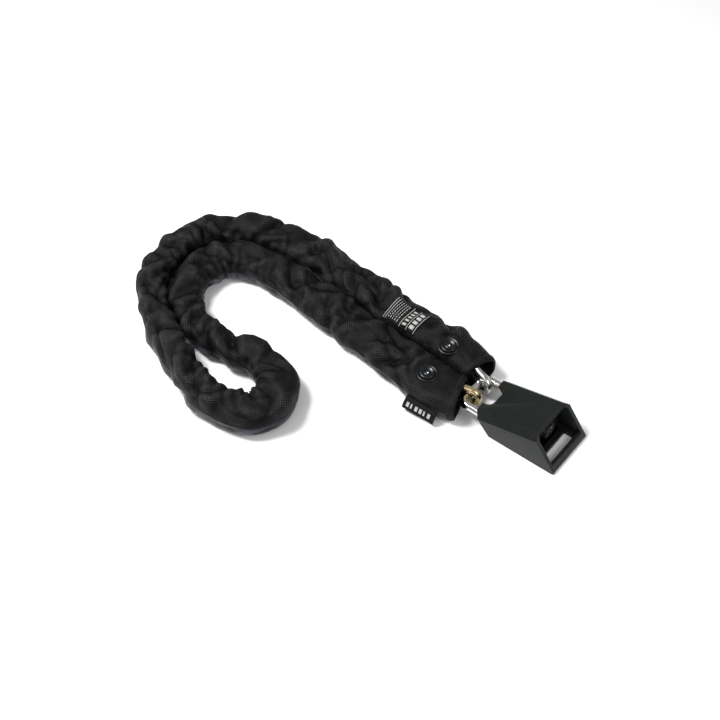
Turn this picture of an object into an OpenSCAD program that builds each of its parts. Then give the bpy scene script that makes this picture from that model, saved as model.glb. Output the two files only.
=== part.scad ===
// Chain lock: a padlock housing with a shackle, a square-bar chain doubled over on itself,
// and a woven sleeve over the chain, lying flat with its far end hooked round.
// Millimetres. +Z up, the housing's key end towards +X, origin on its flat underside.

/* [Housing] */
// Width of the housing across the two shackle legs
housing_w = 57; // [56:0.5:62]
// Height of the housing at the key end
key_end_h = 38.5; // [38:0.5:42]
// Height of the housing at the shackle end
shackle_end_h = 21.5; // [21.5:0.5:24]
// Width and height of the bevel along the two top edges
bevel = 6.5; // [4:0.5:7]
// Depth of the notch in the shackle end, which gives the end links room
notch_depth = 9.5; // [7:0.5:10]

/* [Shackle] */
// Diameter of the shackle bar
shackle_d = 9; // [8.5:0.1:9.2]
// Distance between the two legs, centre to centre
leg_spacing = 39; // [38.5:0.1:39.5]

/* [Cylinder] */
// Diameter of the lock cylinder
cylinder_d = 17; // [16.5:0.1:17.2]
// Diameter of the key plug
plug_d = 10; // [9.5:0.1:10.2]
// Diameter of the swivelling dust cover
dust_cover_d = 16; // [15:0.5:16]

/* [Chain] */
// Thickness of the square chain bar
bar = 7; // [6:0.1:7]
// Bevel along the four edges of the bar
bar_bevel = 1.8; // [1.5:0.1:2]

/* [Sleeve] */
// Thickness of the woven sleeve
cloth = 1.2; // [1:0.1:1.5]
// How square the sleeve's section is: 2 is an ellipse
squareness = 3.5; // [3:0.1:4]
// Outer diameter of the snap washers
washer_d = 21.5; // [18:0.5:21.5]

/* [Hidden] */
$fn = 48;
// Housing outline in side view
key_x = 49.4;
foot_x = -24;
lip_x = -43;
brow_x = 23;
wall = 2.5;
top_slope = atan((key_end_h - shackle_end_h) / (brow_x - lip_x));
half_w = housing_w / 2;
// Steel block, end plate and the open key end
block_back = -20.7;
plate_x = 16;
plate_t = 3;
plate_face = plate_x + plate_t;
bar_x = [25, 31, 41.5];
slot_half = 19.5;
recess_half = 24.5;
recess_top = 34.8;
fit = 0.15;
// Shackle
leg_y = leg_spacing / 2;
leg_z = 14;
bow_x = -63;
bow_r = 6.5;
leg_end = 3;
leg_bore = shackle_d / 2 + 0.1;
// Balls and cam
ball_r = 4.5;
ball_x = -4;
ball_locked = leg_y - shackle_d / 2 - 2;
ball_open = leg_y - shackle_d / 2 - ball_r - 0.2;
cam_z = 17;
nose_r = 2.4;
nose_at = 6.2;
cam_chamber_r = 8.9;
// Cylinder
shell_z = cam_z + 2.5;
shell_x = 1;
shell_end = 23.5;
pin_x = [4, 8, 12, 16, 20];
pivot_z = shell_z + 6;
// Chain: pivot spacing of the flat links and of the upright ones
flat_step = 29.5;
crown_r = 8.75;
upright_step = flat_step + 2 * crown_r;
chain_z = leg_z;
links = 33;
// Snaps, on top of the two strands
SNAPS = [[-103, -21], [-107, 20]];
snap_z = 29.1;

// Route of the doubled chain, from the shackle round the far loop and back again:
// x, y, sleeve width, sleeve height, and how far the sleeve lies to the left of the chain
ROUTE = [
    [-52, 10, 32.3, 28, -5.5], [-95, 26, 40, 29, -3], [-120, 31, 42, 29, -1], [-150, 32, 42, 29, 0],
    [-200, 35, 41, 29, 0], [-250, 41, 42, 29, 0], [-300, 45, 41, 29, 0], [-344, 40, 38, 30, 0],
    [-386, 19, 36, 32, 0], [-409, -10, 36, 34, 0], [-415, -41, 36, 34, 0], [-408, -76, 34, 34, 0],
    [-381, -110, 31, 35, 0], [-343, -135, 30, 36, 0], [-303, -152, 31, 36, 0],
    [-266, -165, 33, 35, 0], [-234, -167, 37, 33, 0], [-209, -157, 41, 33, 0],
    [-202, -134, 43, 33, 0], [-212, -110, 41, 33, 0], [-240, -101, 35, 33, 0],
    [-275, -106, 31, 34, 0], [-312, -107, 31, 33, 0], [-348, -96, 32, 32, 0],
    [-371, -71, 35, 32, 0], [-376, -42, 38, 32, 0], [-366, -14, 38, 31, 0], [-338, -1, 38, 30, 0],
    [-299, 1, 40, 29, 0], [-250, -3, 43, 29, 0], [-200, -9, 44, 29, 0], [-150, -14, 47, 29, 0],
    [-118, -18, 47, 29, -1], [-84, -15, 47, 29, -6], [-46, -4, 42, 29, -9]];

// Smooth curve through the route's rows
function spline(i, t) =
    let (n = len(ROUTE) - 1, a = ROUTE[max(i - 1, 0)], b = ROUTE[i])
    let (c = ROUTE[min(i + 1, n)], d = ROUTE[min(i + 2, n)])
    (2 * b + (c - a) * t + (2 * a - 5 * b + 4 * c - d) * t * t
        + (3 * b - a - 3 * c + d) * t * t * t) / 2;
steps = 8;
PATH = [for (i = [0:len(ROUTE) - 2]) for (j = [0:steps - 1]) spline(i, j / steps),
    ROUTE[len(ROUTE) - 1]];
function gap(a, b) = norm([b[0] - a[0], b[1] - a[1]]);
// Running length along the path, and tables to look a station up by its length
LENGTH = [for (i = 0, s = 0; i < len(PATH);
    s = s + gap(PATH[i], PATH[min(i + 1, len(PATH) - 1)]), i = i + 1) s];
total = LENGTH[len(LENGTH) - 1];
TABLE = [for (k = [0:4]) [for (i = [0:len(PATH) - 1]) [LENGTH[i], PATH[i][k]]]];
function at(s) = [for (k = [0:4]) lookup(s, TABLE[k])];
function heading(s) =
    let (a = at(max(s - 1, 0)), b = at(min(s + 1, total)))
    atan2(b[1] - a[1], b[0] - a[0]);

// The next station a straight step away, by halving
function seek(p, step, lo, hi, n) =
    n == 0 ? lo
    : let (mid = (lo + hi) / 2)
        gap(p, at(mid)) < step ? seek(p, step, mid, hi, n - 1) : seek(p, step, lo, mid, n - 1);
function step_of(k) = k % 2 == 0 ? upright_step : flat_step;
STATION = [for (k = 0, s = 0; k <= links;
    s = seek(at(s), step_of(k), s + step_of(k) * 0.9, s + step_of(k) * 1.7, 20), k = k + 1) s];
PIVOT = [for (s = STATION) at(s)];

// Sleeve section at a station: the sleeve lies a little inside the chain's curve
function power(v) = sign(v) * pow(abs(v), 2 / squareness);
function ring(s, inset) =
    let (c = at(s), reach = min(20, s, total - s), a = at(s - reach), b = at(s + reach))
    let (h = heading(s), left = [-sin(h), cos(h)])
    let (x = (2 * c[0] + a[0] + b[0]) / 4 + left[0] * c[4])
    let (y = (2 * c[1] + a[1] + b[1]) / 4 + left[1] * c[4])
    let (w = c[2] / 2 - inset, t = c[3] / 2 - inset)
    [for (i = [0:sides - 1])
        let (u = w * power(cos(i * 360 / sides)), v = t * power(sin(i * 360 / sides)))
        [x + left[0] * u, y + left[1] * u, c[3] / 2 + max(0, -inset) + v]];
sides = 16;
ring_gap = 14;
joint_gap = 0.15;
mouth = 20;
hem_len = 6;
// Cuts where the sleeve is divided between bodies: hinge a, then hinge b
cut_a = [206, 254, 1040, 1088];
cut_b = [515, 563, 828, 876];
far_mouth = total - mouth - 2;

// Closed tube between two stations, with its own wall
module tube(from, to, outset = 0) {
    n = max(1, round((to - from) / ring_gap));
    stations = [for (i = [0:n]) from + (to - from) * i / n];
    outer = [for (s = stations) each ring(s, -outset)];
    inner = [for (s = stations) each ring(s, cloth)];
    off = len(outer);
    function q(a, b, c, d) = [[a, b, c], [a, c, d]];
    walls = [for (r = [0:n - 1]) for (i = [0:sides - 1])
        let (j = (i + 1) % sides, a = r * sides, b = a + sides)
        each concat(q(a + i, a + j, b + j, b + i),
            q(off + b + i, off + b + j, off + a + j, off + a + i))];
    last = n * sides;
    caps = [for (i = [0:sides - 1]) let (j = (i + 1) % sides)
        each concat(q(i, off + i, off + j, j),
            q(last + j, off + last + j, off + last + i, last + i))];
    polyhedron(concat(outer, inner), concat(walls, caps), convexity = 6);
}

// A prism across the housing, from its outline in side view
module across(width, outline) {
    rotate([90, 0, 0])
        linear_extrude(width, center = true)
            polygon(outline);
}

// A bar along the housing's sloping top, bevelled along both top edges
module along_top(half, sink, cut) {
    translate([lip_x, 0, shackle_end_h])
        rotate([0, -top_slope, 0])
            rotate([90, 0, 90])
                translate([0, 0, -60])
                    linear_extrude(220)
                        polygon([[-half, -90], [half, -90], [half, -sink - cut],
                            [half - cut, -sink], [cut - half, -sink], [-half, -sink - cut]]);
}

module rod(x0, x1, r, y, z) {
    translate([x0, y, z])
        rotate([0, 90, 0])
            cylinder(h = x1 - x0, r = r);
}

module housing_block_space(play) {
    intersection() {
        across(housing_w, [[block_back - play, wall + 0.15 - play], [plate_face + play, wall + 0.15 - play],
            [plate_face + play, 60], [block_back - play, 60]]);
        along_top(half_w - wall - 0.15 + play, wall + 0.25 - play, bevel - 1);
    }
}

module key_recess() {
    intersection() {
        across(housing_w, [[plate_face, 4], [bar_x[2], 4], [bar_x[2], 6], [bar_x[2] + 1.5, 7.2],
            [70, 7.2], [70, recess_top], [plate_face, recess_top]]);
        along_top(recess_half, wall, bevel - 1);
    }
    for (slot = [[plate_face + 0.2, bar_x[0]], [bar_x[1], bar_x[2]]])
        translate([slot[0], -slot_half, -5])
            cube([slot[1] - slot[0], 2 * slot_half, 10]);
}

module shackle_notch() {
    inner = lip_x + notch_depth;
    for (side = [-1, 1])
        translate([inner - 6, side * 6.5, -5])
            cylinder(h = 50, r = 6);
    translate([lip_x - 20, -12.5, -5])
        cube([notch_depth + 14, 25, 50]);
    translate([lip_x - 20, -6.5, -5])
        cube([notch_depth + 20, 13, 50]);
}

module lock_cover() {
    color("dimgray")
        difference() {
            intersection() {
                across(housing_w, [[46.5, 0], [foot_x, 0], [lip_x, shackle_end_h],
                    [brow_x, key_end_h], [48.8, 3], [key_x, 1.4]]);
                along_top(half_w, 0, bevel);
                translate([0, 0, -5])
                    linear_extrude(60)
                        polygon([[60, -40], [60, 40], [foot_x, 40], [foot_x, half_w + 1],
                            [lip_x + 4, half_w], [lip_x, half_w - 4], [lip_x, 4 - half_w],
                            [lip_x + 4, -half_w], [foot_x, -half_w - 1], [foot_x, -40]]);
            }
            housing_block_space(fit);
            key_recess();
            shackle_notch();
            for (side = [-1, 1]) {
                rod(lip_x - 5, block_back, leg_bore + 0.15, side * leg_y, leg_z);
                rod(block_back - 3.2, block_back, leg_bore + 1.6, side * leg_y, leg_z);
            }
        }
}

module lock_body() {
    color("silver")
        difference() {
            intersection() {
                housing_block_space(0);
                translate([block_back - 5, -50, -5])
                    cube([plate_x - 0.1 - block_back + 5, 100, 80]);
            }
            for (side = [-1, 1]) {
                rod(block_back - 1, leg_end + 4.5, leg_bore, side * leg_y, leg_z);
                rod(plate_x - 6, plate_x + 1, 1.55, side * leg_y, 9);
            }
            translate([ball_x, 0, leg_z])
                rotate([90, 0, 0])
                    cylinder(h = 2 * leg_y - 6, r = ball_r + 0.15, center = true);
            rod(ball_x - 4.6, shell_x + 0.1, cam_chamber_r, 0, cam_z);
            rod(shell_x, plate_x + 1, cylinder_d / 2 + 0.05, 0, shell_z);
        }
}

module end_plate() {
    color("gray")
        difference() {
            intersection() {
                housing_block_space(0);
                translate([plate_x, -50, -5])
                    cube([plate_t, 100, 80]);
            }
            rod(plate_x - 1, plate_face + 1, cylinder_d / 2 + 0.05, 0, shell_z);
            for (side = [-1, 1]) {
                rod(plate_x - 1, plate_face + 1, 1.6, side * leg_y, 9);
                rod(plate_face - 1.6, plate_face + 1, 2.9, side * leg_y, 9);
            }
        }
}

module plate_screws() {
    color("black")
        for (side = [-1, 1])
            difference() {
                union() {
                    rod(plate_x - 5, plate_face - 1, 1.5, side * leg_y, 9);
                    rod(plate_face - 1.6, plate_face - 0.1, 2.7, side * leg_y, 9);
                }
                translate([plate_face - 0.9, side * leg_y, 9])
                    rotate([0, 90, 0])
                        cylinder(h = 2, r = 1.5, $fn = 6);
            }
}

module shackle_seals() {
    color("black")
        for (side = [-1, 1])
            difference() {
                rod(block_back - 3.1, block_back - 0.3, leg_bore + 1.5, side * leg_y, leg_z);
                rod(block_back - 4, block_back + 1, leg_bore - 0.02, side * leg_y, leg_z);
            }
}

module shackle() {
    color("gainsboro")
        difference() {
            union() {
                for (side = [-1, 1]) {
                    rod(bow_x + bow_r, leg_end, shackle_d / 2, side * leg_y, leg_z);
                    translate([bow_x + bow_r, side * (leg_y - bow_r), leg_z])
                        rotate([0, 0, side > 0 ? 90 : 180])
                            rotate_extrude(angle = 90)
                                translate([bow_r, 0])
                                    circle(r = shackle_d / 2);
                }
                translate([bow_x, 0, leg_z])
                    rotate([90, 0, 0])
                        cylinder(h = 2 * (leg_y - bow_r), r = shackle_d / 2, center = true);
            }
            for (side = [-1, 1])
                translate([ball_x, side * ball_locked, leg_z])
                    sphere(r = ball_r + 0.1);
        }
}

module ball(side) {
    translate([ball_x, side * ball_open, leg_z])
        sphere(r = ball_r);
}

module ball_left() {
    color("lightsteelblue")
        ball(1);
}

module ball_right() {
    color("lightsteelblue")
        ball(-1);
}

module ball_cam() {
    color("goldenrod")
        difference() {
            union() {
                rod(ball_x - 4, shell_x - 0.6, 5.6, 0, cam_z);
                for (turn = [-13, 193])
                    translate([0, 0, cam_z])
                        rotate([turn, 0, 0])
                            rod(ball_x - 4, shell_x - 0.6, nose_r, 0, nose_at);
            }
            rod(ball_x - 5, shell_x + 1, 3, 0, cam_z);
        }
}

module cylinder_shell() {
    color("khaki")
        difference() {
            rod(shell_x, shell_end, cylinder_d / 2, 0, shell_z);
            rod(shell_x - 1, shell_end + 1, plug_d / 2 + 0.05, 0, cam_z);
            for (x = pin_x)
                translate([x, 0, cam_z])
                    cylinder(h = 20, r = 1.3);
            rod(shell_end - 1.9, shell_end + 1, 1, 0, pivot_z);
        }
}

module cylinder_plug() {
    color("gold")
        difference() {
            union() {
                rod(shell_x - 0.5, shell_end + 0.1, plug_d / 2, 0, cam_z);
                rod(ball_x - 3.9, shell_x, 3, 0, cam_z);
            }
            translate([shell_x + 1, -0.9, cam_z - 3.6])
                cube([40, 1.8, 7]);
            for (x = pin_x)
                translate([x, 0, cam_z - 1.2])
                    cylinder(h = 20, r = 1.3);
        }
}

module key_pins() {
    color("peru")
        for (i = [0:4])
            translate([pin_x[i], 0, cam_z - 1 + 0.5 * (i % 3)])
                cylinder(h = plug_d / 2 + 0.95 - 0.5 * (i % 3), r = 1.2);
}

module driver_pins() {
    color("silver")
        for (x = pin_x)
            translate([x, 0, cam_z + plug_d / 2 + 0.12])
                cylinder(h = 2.6, r = 1.2);
}

module pin_springs() {
    color("slategray")
        for (x = pin_x)
            translate([x, 0, cam_z + plug_d / 2 + 2.8])
                difference() {
                    cylinder(h = 2.7, r = 1.1);
                    translate([0, 0, -1])
                        cylinder(h = 5, r = 0.7);
                }
}

module dust_cover() {
    color("black")
        difference() {
            union() {
                rod(shell_end + 0.3, shell_end + 1.6, dust_cover_d / 2, 0, shell_z);
                rod(shell_end + 1.5, shell_end + 2.3, 1.6, 0, shell_z - 4.5);
            }
            rod(shell_end, shell_end + 3, 1.05, 0, pivot_z);
        }
}

module cover_rivet() {
    color("silver")
        union() {
            rod(shell_end - 1.8, shell_end + 1.8, 1, 0, pivot_z);
            rod(shell_end + 1.7, shell_end + 2.5, 1.9, 0, pivot_z);
        }
}

// Bar section of a link, standing crown_r from its long axis
module bar_section() {
    h = bar / 2;
    f = h - bar_bevel;
    translate([crown_r, 0])
        polygon([[-h, -f], [-f, -h], [f, -h], [h, -f], [h, f], [f, h], [-f, h], [-h, f]]);
}

module link() {
    for (turn = [0, 180])
        rotate([0, 0, turn]) {
            translate([flat_step / 2, 0, 0])
                rotate([0, 0, -90])
                    rotate_extrude(angle = 180)
                        bar_section();
            rotate([90, 0, 90])
                translate([0, 0, -flat_step / 2])
                    linear_extrude(flat_step)
                        bar_section();
        }
}

// Link k of the chain lies between two pivots, every other one on its edge
module chain_link(k) {
    a = PIVOT[k];
    b = PIVOT[k + 1];
    translate([(a[0] + b[0]) / 2, (a[1] + b[1]) / 2, chain_z])
        rotate([0, 0, atan2(b[1] - a[1], b[0] - a[0])])
            rotate([k % 2 == 0 ? 90 : 0, 0, 0])
                link();
}

module end_link_back() {
    color("whitesmoke")
        chain_link(0);
}

module end_link_front() {
    color("gold")
        chain_link(links - 1);
}

module sleeve_near() {
    color("darkslategray") {
        tube(mouth + hem_len + joint_gap, cut_a[0] - joint_gap);
        tube(cut_a[3] + joint_gap, far_mouth - hem_len - joint_gap);
    }
}

module sleeve_bend_a() {
    color("slategray") {
        tube(cut_a[0] + joint_gap, cut_a[1] - joint_gap);
        tube(cut_a[2] + joint_gap, cut_a[3] - joint_gap);
    }
}

module sleeve_turn() {
    color("darkslategray") {
        tube(cut_a[1] + joint_gap, cut_b[0] - joint_gap);
        tube(cut_b[3] + joint_gap, cut_a[2] - joint_gap);
    }
}

module sleeve_bend_b() {
    color("slategray") {
        tube(cut_b[0] + joint_gap, cut_b[1] - joint_gap);
        tube(cut_b[2] + joint_gap, cut_b[3] - joint_gap);
    }
}

module sleeve_loop() {
    color("darkslategray")
        tube(cut_b[1] + joint_gap, cut_b[2] - joint_gap);
}

module sleeve_hems() {
    color("dimgray") {
        tube(mouth, mouth + hem_len, 0.4);
        tube(far_mouth - hem_len, far_mouth, 0.4);
    }
}

// Lays a snap part on the cloth
module on_snaps() {
    for (p = SNAPS)
        translate([p[0], p[1], snap_z])
            children();
}

module snap_washers() {
    color("gray")
        on_snaps()
            difference() {
                cylinder(h = 1.2, d = washer_d);
                translate([0, 0, 0.6])
                    cylinder(h = 2, d = washer_d - 3);
                translate([0, 0, -1])
                    cylinder(h = 4, d = 8);
            }
}

module snap_caps() {
    color("silver")
        on_snaps()
            rotate_extrude()
                polygon([[2, 0.7], [7.5, 0.7], [7.5, 1.6], [6.6, 2.4], [5.6, 2.2], [3, 1.2], [2, 1.6]]);
}

module snap_posts() {
    color("dimgray")
        on_snaps()
            difference() {
                union() {
                    translate([0, 0, -1.6])
                        cylinder(h = 2.2, r = 1.9);
                    translate([0, 0, -2.6])
                        cylinder(h = 0.9, r = 6);
                }
                translate([0, 0, -3])
                    cylinder(h = 5, r = 1);
            }
}

module woven_label() {
    color("black")
        translate([-164, 27, 29.05])
            rotate([0, 0, -3])
                translate([-20.5, -14, 0])
                    cube([41, 28, 0.7]);
}

module side_tab() {
    color("black")
        translate([-91, -44.6, 13])
            rotate([-42, 0, 0])
                translate([-18, -1, -12])
                    cube([36, 1, 12]);
}

function link_name(k) = str("chain_link_", k < 10 ? "0" : "", k);

lock_cover();
lock_body();
end_plate();
plate_screws();
shackle_seals();
shackle();
ball_left();
ball_right();
ball_cam();
cylinder_shell();
cylinder_plug();
key_pins();
driver_pins();
pin_springs();
dust_cover();
cover_rivet();
end_link_back();
end_link_front();
sleeve_near();
sleeve_bend_a();
sleeve_turn();
sleeve_bend_b();
sleeve_loop();
sleeve_hems();
snap_washers();
snap_caps();
snap_posts();
woven_label();
side_tab();
for (k = [1:links - 2])
    color(k % 2 == 0 ? "khaki" : "lightsteelblue")
            chain_link(k);
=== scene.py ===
"""Chain lock: a padlock through both ends of a square-bar chain in a woven sleeve.

The chain is doubled over on itself, with its far end hooked round.
"""

import math

import bmesh
import bpy
import numpy as np
from mathutils import Matrix, Vector
from mathutils.bvhtree import BVHTree


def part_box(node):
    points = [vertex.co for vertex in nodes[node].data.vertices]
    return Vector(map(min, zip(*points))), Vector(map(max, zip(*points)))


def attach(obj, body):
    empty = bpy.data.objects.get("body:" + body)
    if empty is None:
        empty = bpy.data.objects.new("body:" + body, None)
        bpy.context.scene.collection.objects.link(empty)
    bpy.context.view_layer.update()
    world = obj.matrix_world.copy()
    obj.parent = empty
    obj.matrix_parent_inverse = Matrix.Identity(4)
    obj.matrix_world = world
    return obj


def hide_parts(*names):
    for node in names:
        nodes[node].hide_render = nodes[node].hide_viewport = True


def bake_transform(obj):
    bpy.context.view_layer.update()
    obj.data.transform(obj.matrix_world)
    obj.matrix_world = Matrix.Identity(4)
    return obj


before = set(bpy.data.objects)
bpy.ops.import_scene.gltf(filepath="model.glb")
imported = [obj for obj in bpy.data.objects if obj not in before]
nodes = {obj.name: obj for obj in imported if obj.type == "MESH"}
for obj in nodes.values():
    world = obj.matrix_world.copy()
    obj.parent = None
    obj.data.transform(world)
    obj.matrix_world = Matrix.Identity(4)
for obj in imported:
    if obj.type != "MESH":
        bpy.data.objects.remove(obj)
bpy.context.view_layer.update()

# ---- camera and light
VIEW_AZIMUTH = math.radians(38)
VIEW_ELEVATION = math.radians(50)
VIEW_TARGET = Vector((-0.179, -0.0286, 0))
VIEW_DISTANCE = 1.433
LENS_MM = 72


def back_of_view(azimuth, elevation):
    """Direction from what is looked at to the camera."""
    return Vector((math.sin(azimuth) * math.cos(elevation),
                   -math.cos(azimuth) * math.cos(elevation), math.sin(elevation)))


def aimed(name, data, azimuth, elevation, distance):
    """A camera or light at a distance from the middle of the view, facing it."""
    made = bpy.data.objects.new(name, data)
    bpy.context.collection.objects.link(made)
    back = back_of_view(azimuth, elevation)
    made.location = VIEW_TARGET + back * distance
    made.rotation_euler = back.to_track_quat("Z", "Y").to_euler()
    return made


def add_camera():
    data = bpy.data.cameras.new("camera")
    data.lens = LENS_MM
    bpy.context.scene.camera = aimed("camera", data, VIEW_AZIMUTH, VIEW_ELEVATION, VIEW_DISTANCE)


def area_light(name, azimuth, elevation, distance, size, power):
    """A square soft box, aimed at the middle of the view."""
    data = bpy.data.lights.new(name, "AREA")
    data.size = size
    data.energy = power
    aimed(name, data, math.radians(azimuth), math.radians(elevation), distance)


def add_world(strength):
    world = bpy.data.worlds.new("studio")
    world.use_nodes = True
    inputs = world.node_tree.nodes["Background"].inputs
    inputs["Color"].default_value = (1, 1, 1, 1)
    inputs["Strength"].default_value = strength
    bpy.context.scene.world = world
    bpy.context.scene.view_settings.view_transform = "Standard"


# ---- materials
class Shader:
    """A material's node tree, with short calls for the nodes used here."""

    def __init__(self, name):
        self.material = bpy.data.materials.new(name)
        self.material.use_nodes = True
        self.tree = self.material.node_tree
        self.surface = self.tree.nodes["Principled BSDF"]

    def node(self, kind, **settings):
        made = self.tree.nodes.new(kind)
        for key, value in settings.items():
            setattr(made, key, value)
        return made

    def wire(self, value, socket):
        """Links an output to a socket, or sets the socket where value is a plain number or colour."""
        if isinstance(value, bpy.types.NodeSocket):
            self.tree.links.new(value, socket)
        else:
            socket.default_value = value

    def set(self, **values):
        for key, value in values.items():
            self.wire(value, self.surface.inputs[key.replace("_", " ")])
        return self

    def math(self, operation, a, b=0.0, clamp=False):
        made = self.node("ShaderNodeMath", operation=operation, use_clamp=clamp)
        self.wire(a, made.inputs[0])
        self.wire(b, made.inputs[1])
        return made.outputs[0]

    def place(self):
        return self.node("ShaderNodeTexCoord").outputs["Object"]

    def noise(self, scale, detail=3.0, rough=0.5, where=None):
        made = self.node("ShaderNodeTexNoise")
        made.inputs["Scale"].default_value = scale
        made.inputs["Detail"].default_value = detail
        made.inputs["Roughness"].default_value = rough
        self.wire(where or self.place(), made.inputs["Vector"])
        return made.outputs[0]

    def ramp(self, value, *stops):
        """Colour from a value: each stop is (position, colour)."""
        made = self.node("ShaderNodeValToRGB")
        marks = made.color_ramp.elements
        while len(marks) < len(stops):
            marks.new(0.5)
        for mark, (at, colour) in zip(marks, stops):
            mark.position = at
            mark.color = (*colour, 1)
        self.wire(value, made.inputs[0])
        return made.outputs[0]

    def level(self, value, low, high):
        """Maps 0..1 to low..high."""
        made = self.node("ShaderNodeMapRange")
        self.wire(value, made.inputs["Value"])
        made.inputs["To Min"].default_value = low
        made.inputs["To Max"].default_value = high
        return made.outputs[0]

    def mix(self, factor, a, b):
        made = self.node("ShaderNodeMix", data_type="RGBA")
        self.wire(factor, made.inputs[0])
        self.wire((*a, 1) if isinstance(a, tuple) else a, made.inputs[6])
        self.wire((*b, 1) if isinstance(b, tuple) else b, made.inputs[7])
        return made.outputs[2]

    def bump(self, height, distance, strength=1.0, under=None):
        made = self.node("ShaderNodeBump")
        made.inputs["Strength"].default_value = strength
        made.inputs["Distance"].default_value = distance
        self.wire(height, made.inputs["Height"])
        if under is not None:
            self.wire(under, made.inputs["Normal"])
        return made.outputs[0]


def uv_split(shader, name):
    made = shader.node("ShaderNodeUVMap", uv_map=name)
    parts = shader.node("ShaderNodeSeparateXYZ")
    shader.wire(made.outputs[0], parts.inputs[0])
    return parts.outputs[0], parts.outputs[1]


def attribute(shader, name):
    return shader.node("ShaderNodeAttribute", attribute_name=name).outputs["Fac"]


YARN = 0.0026  # one repeat of the weave, in metres
CREASE_HEIGHT = 0.0060
CREASE_STRENGTH = 0.45


def woven_nylon(name, dark, light, smooth_panel):
    """Basket-woven nylon.

    With smooth_panel, the attribute 'panel' turns it into the plain underside cloth, whose lighter blue-grey
    is painted light from the floor, and a second attribute paints shade into its valleys and creases.
    """
    s = Shader(name)
    along, around = uv_split(s, "cloth")
    wave_a = s.math("SINE", s.math("MULTIPLY", along, 2 * math.pi / YARN))
    wave_b = s.math("SINE", s.math("MULTIPLY", around, 2 * math.pi / YARN))
    weave = s.math("ADD", s.math("MULTIPLY", s.math("MULTIPLY", wave_a, wave_b), 0.5), 0.5)
    tint = s.noise(38.0, 4.0, 0.6)
    speck = s.noise(700.0, 2.0, 0.6)
    mixed = s.math("MULTIPLY", weave, s.level(speck, 0.35, 1.45))
    colour = s.ramp(mixed, (0.30, dark), (0.55, tuple(c * 0.22 for c in light)), (1.0, light))
    colour = s.mix(s.level(tint, 0.0, 0.35), colour, dark)
    rough = s.level(mixed, 0.42, 0.72)
    height = s.math("ADD", s.math("MULTIPLY", weave, 0.8), s.math("MULTIPLY", speck, 0.35))
    crease = s.math("ABSOLUTE", s.math("SUBTRACT", s.noise(42.0, 1.0, 0.5), 0.5))
    creased = s.bump(s.math("MULTIPLY", crease, 2.0, True), CREASE_HEIGHT, CREASE_STRENGTH)
    normal = s.bump(height, 0.0005, 0.8, creased)
    if smooth_panel:
        panel = attribute(s, "panel")
        # plain underside cloth: its smoothness is real, but its lighter blue-grey tone is painted light thrown
        # up by the floor
        plain = s.ramp(s.noise(55.0, 3.0), (0.3, (0.056, 0.058, 0.074)), (0.7, (0.078, 0.080, 0.100)))
        colour = s.mix(panel, colour, plain)
        # painted shade: the cloth's colour is darkened in its creases and valleys, where shade falls, down to
        # a tenth
        shade = s.ramp(attribute(s, "crease_shade"), (0.12, (0.10, 0.10, 0.10)),
                       (0.5, (0.42, 0.42, 0.42)), (0.85, (1, 1, 1)))
        shaded = s.node("ShaderNodeMix", data_type="RGBA", blend_type="MULTIPLY")
        shaded.inputs[0].default_value = 1.0
        s.wire(colour, shaded.inputs[6])
        s.wire(shade, shaded.inputs[7])
        colour = shaded.outputs[2]
        rough = s.math("SUBTRACT", rough, s.math("MULTIPLY", panel, 0.2))
        fine = s.bump(s.noise(2600.0, 2.0), 0.0002, 0.25, creased)
        blend = s.node("ShaderNodeMix", data_type="VECTOR")
        s.wire(panel, blend.inputs[0])
        s.wire(normal, blend.inputs[4])
        s.wire(fine, blend.inputs[5])
        normal = blend.outputs[1]
    s.set(Base_Color=colour, Roughness=rough, Normal=normal, Specular_IOR_Level=0.11)
    return s.material


def coated_metal(name, dark, light, rough, grain):
    s = Shader(name)
    cloud = s.noise(26.0, 4.0, 0.6)
    edge = s.node("ShaderNodeNewGeometry").outputs["Pointiness"]
    worn = s.math("MULTIPLY", s.math("SUBTRACT", edge, 0.52, True), 5.0, True)
    colour = s.ramp(cloud, (0.3, dark), (0.7, light))
    colour = s.mix(s.math("MULTIPLY", worn, 0.35), colour, tuple(min(1, c * 3 + 0.04) for c in light))
    peel = s.bump(s.noise(420.0, 2.0), grain, 0.5, s.bump(s.noise(2400.0, 2.0), grain * 0.5, 0.35))
    s.set(Base_Color=colour, Roughness=s.level(s.noise(70.0, 3.0), rough - 0.05, rough + 0.06),
          Normal=peel, Specular_IOR_Level=0.17)
    return s.material


def plated_metal(name, dark, light, rough):
    """Bare or plated metal with fine marks and slightly uneven gloss."""
    s = Shader(name)
    cloud = s.noise(140.0, 4.0, 0.65)
    fine = s.noise(900.0, 3.0, 0.6)
    s.set(Base_Color=s.ramp(cloud, (0.25, dark), (0.75, light)), Metallic=1.0,
          Roughness=s.level(s.math("MULTIPLY", cloud, fine), rough * 0.6, rough * 2.0),
          Normal=s.bump(fine, 0.00004, 0.6))
    return s.material


def rubber(name, colour):
    s = Shader(name)
    s.set(Base_Color=s.ramp(s.noise(90.0), (0.3, colour), (0.7, tuple(c * 1.7 for c in colour))),
          Roughness=s.level(s.noise(300.0), 0.55, 0.75), Normal=s.bump(s.noise(1500.0), 0.0001, 0.4))
    return s.material


def thread(name, colour):
    s = Shader(name)
    twist = s.noise(1800.0, 2.0, 0.6)
    s.set(Base_Color=s.ramp(twist, (0.3, tuple(c * 0.55 for c in colour)), (0.75, colour)),
          Roughness=s.level(twist, 0.6, 0.85), Normal=s.bump(twist, 0.00015, 0.6), Specular_IOR_Level=0.25)
    return s.material


def paper_floor(name):
    s = Shader(name)
    s.set(Base_Color=s.ramp(s.noise(3.0, 2.0), (0.2, (0.9, 0.9, 0.9)), (0.8, (0.94, 0.94, 0.94))),
          Roughness=0.7, Specular_IOR_Level=0.2)
    return s.material


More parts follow.
